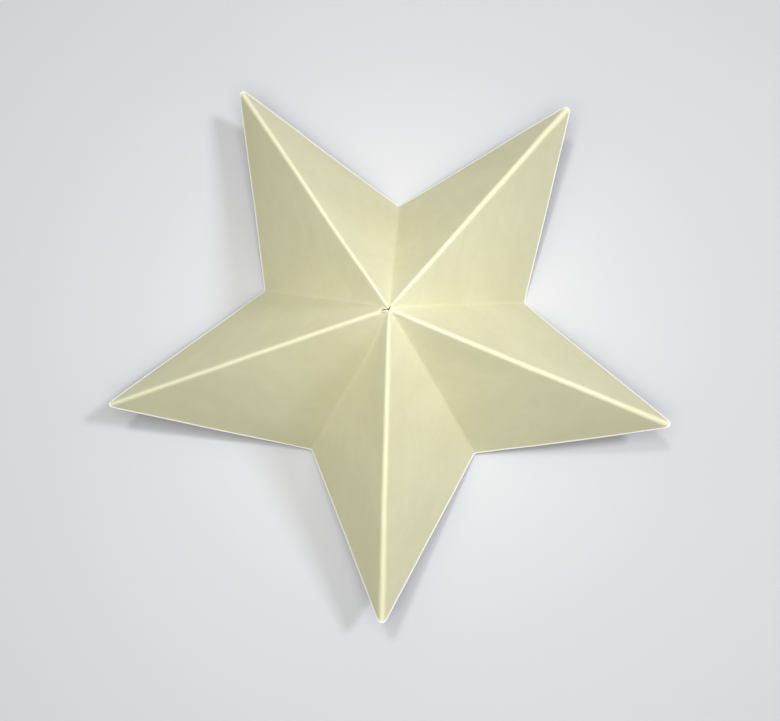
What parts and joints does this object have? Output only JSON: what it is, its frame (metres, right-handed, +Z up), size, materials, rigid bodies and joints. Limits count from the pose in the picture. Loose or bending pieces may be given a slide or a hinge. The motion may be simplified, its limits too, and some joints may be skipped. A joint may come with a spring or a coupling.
{
  "type": "folded paper star",
  "caption": "Folded paper star decoration: flat cream panels between mountain and valley creases, standing on its inner corners with its points raised.",
  "frame": {"origin": "middle of the footprint (the box around the star seen from above), on the surface that the inner corners stand on", "axes": "+Z up, from the surface to the middle of the sheet; -Y toward point 1; +X along the widest span, tip to tip; points count counter-clockwise from above"},
  "size_m": [0.1234, 0.1178, 0.0522],
  "materials": {
    "paper_panel": "matt cream drawing paper, faintly mottled",
    "paper_ridge": "cream paper, burnished pale along the mountain crease",
    "paper_valley": "cream paper, soft along the valley crease"
  },
  "bodies": {
    "crest_1": {"ridge_fold_1": "paper_ridge"},
    "panel_1b": {"point_1_panel_b": "paper_panel", "valley_fold_1_2": "paper_valley"},
    "panel_2a": {"point_2_panel_a": "paper_panel", "ridge_fold_2": "paper_ridge"},
    "panel_2b": {"point_2_panel_b": "paper_panel", "valley_fold_2_3": "paper_valley"},
    "panel_3a": {"point_3_panel_a": "paper_panel", "ridge_fold_3": "paper_ridge"},
    "panel_3b": {"point_3_panel_b": "paper_panel", "valley_fold_3_4": "paper_valley"},
    "panel_1a": {"point_1_panel_a": "paper_panel", "valley_fold_5_1": "paper_valley"},
    "panel_5b": {"point_5_panel_b": "paper_panel", "ridge_fold_5": "paper_ridge"},
    "panel_5a": {"point_5_panel_a": "paper_panel", "valley_fold_4_5": "paper_valley"},
    "panel_4b": {"point_4_panel_b": "paper_panel", "ridge_fold_4": "paper_ridge"},
    "panel_4a": {"point_4_panel_a": "paper_panel"}
  },
  "joints": [
    {"name": "ridge_1_crease_b", "type": "hinge", "parent": "crest_1", "child": "panel_1b", "pos_m": [-0.00008, 0.00565, 0.05267], "axis": [0.0074, -0.8526, -0.5225], "range_deg": [-5, 20], "stiffness_Nm_per_rad": 0.008},
    {"name": "valley_1_2_crease", "type": "hinge", "parent": "panel_1b", "child": "panel_2a", "pos_m": [-0.00008, 0.00565, 0.05267], "axis": [0.3196, -0.428, -0.8454], "range_deg": [-22.1, 5.6], "stiffness_Nm_per_rad": 0.004},
    {"name": "ridge_2_crease", "type": "hinge", "parent": "panel_2a", "child": "panel_2b", "pos_m": [-0.00008, 0.00565, 0.05267], "axis": [0.8154, -0.2493, -0.5225], "range_deg": [-9.47, 37.58], "stiffness_Nm_per_rad": 0.004},
    {"name": "valley_2_3_crease", "type": "hinge", "parent": "panel_2b", "child": "panel_3a", "pos_m": [-0.00008, 0.00565, 0.05267], "axis": [0.4998, 0.1697, -0.8494], "range_deg": [-20.7, 5.25], "stiffness_Nm_per_rad": 0.004},
    {"name": "ridge_3_crease", "type": "hinge", "parent": "panel_3a", "child": "panel_3b", "pos_m": [-0.00008, 0.00565, 0.05267], "axis": [0.4951, 0.6941, -0.5225], "range_deg": [-10.95, 43.5], "stiffness_Nm_per_rad": 0.004},
    {"name": "ridge_1_crease_a", "type": "hinge", "parent": "crest_1", "child": "panel_1a", "pos_m": [-0.00008, 0.00565, 0.05267], "axis": [-0.0074, 0.8526, 0.5225], "range_deg": [-5.1, 20.1], "stiffness_Nm_per_rad": 0.008},
    {"name": "valley_5_1_crease", "type": "hinge", "parent": "panel_1a", "child": "panel_5b", "pos_m": [-0.00008, 0.00565, 0.05267], "axis": [0.316, 0.4349, 0.8432], "range_deg": [-22.26, 5.64], "stiffness_Nm_per_rad": 0.004},
    {"name": "ridge_5_crease", "type": "hinge", "parent": "panel_5b", "child": "panel_5a", "pos_m": [-0.00008, 0.00565, 0.05267], "axis": [0.8132, 0.2564, 0.5225], "range_deg": [-9.66, 38.36], "stiffness_Nm_per_rad": 0.004},
    {"name": "valley_4_5_crease", "type": "hinge", "parent": "panel_5a", "child": "panel_4b", "pos_m": [-0.00008, 0.00565, 0.05267], "axis": [0.5082, -0.175, 0.8432], "range_deg": [-20.92, 5.3], "stiffness_Nm_per_rad": 0.004},
    {"name": "ridge_4_crease", "type": "hinge", "parent": "panel_4b", "child": "panel_4a", "pos_m": [-0.00008, 0.00565, 0.05267], "axis": [0.4829, -0.7027, 0.5225], "range_deg": [-11.09, 44.06], "stiffness_Nm_per_rad": 0.004}
  ],
  "couplings": [
    {"joint": "valley_1_2_crease", "follows": "ridge_1_crease_b", "ratio": -1.1},
    {"joint": "ridge_2_crease", "follows": "ridge_1_crease_b", "ratio": 1.874},
    {"joint": "valley_2_3_crease", "follows": "ridge_1_crease_b", "ratio": -1.03},
    {"joint": "ridge_3_crease", "follows": "ridge_1_crease_b", "ratio": 2.17},
    {"joint": "ridge_1_crease_a", "follows": "ridge_1_crease_b", "ratio": 1},
    {"joint": "valley_5_1_crease", "follows": "ridge_1_crease_b", "ratio": -1.108},
    {"joint": "ridge_5_crease", "follows": "ridge_1_crease_b", "ratio": 1.913},
    {"joint": "valley_4_5_crease", "follows": "ridge_1_crease_b", "ratio": -1.041},
    {"joint": "ridge_4_crease", "follows": "ridge_1_crease_b", "ratio": 2.198}
  ]
}
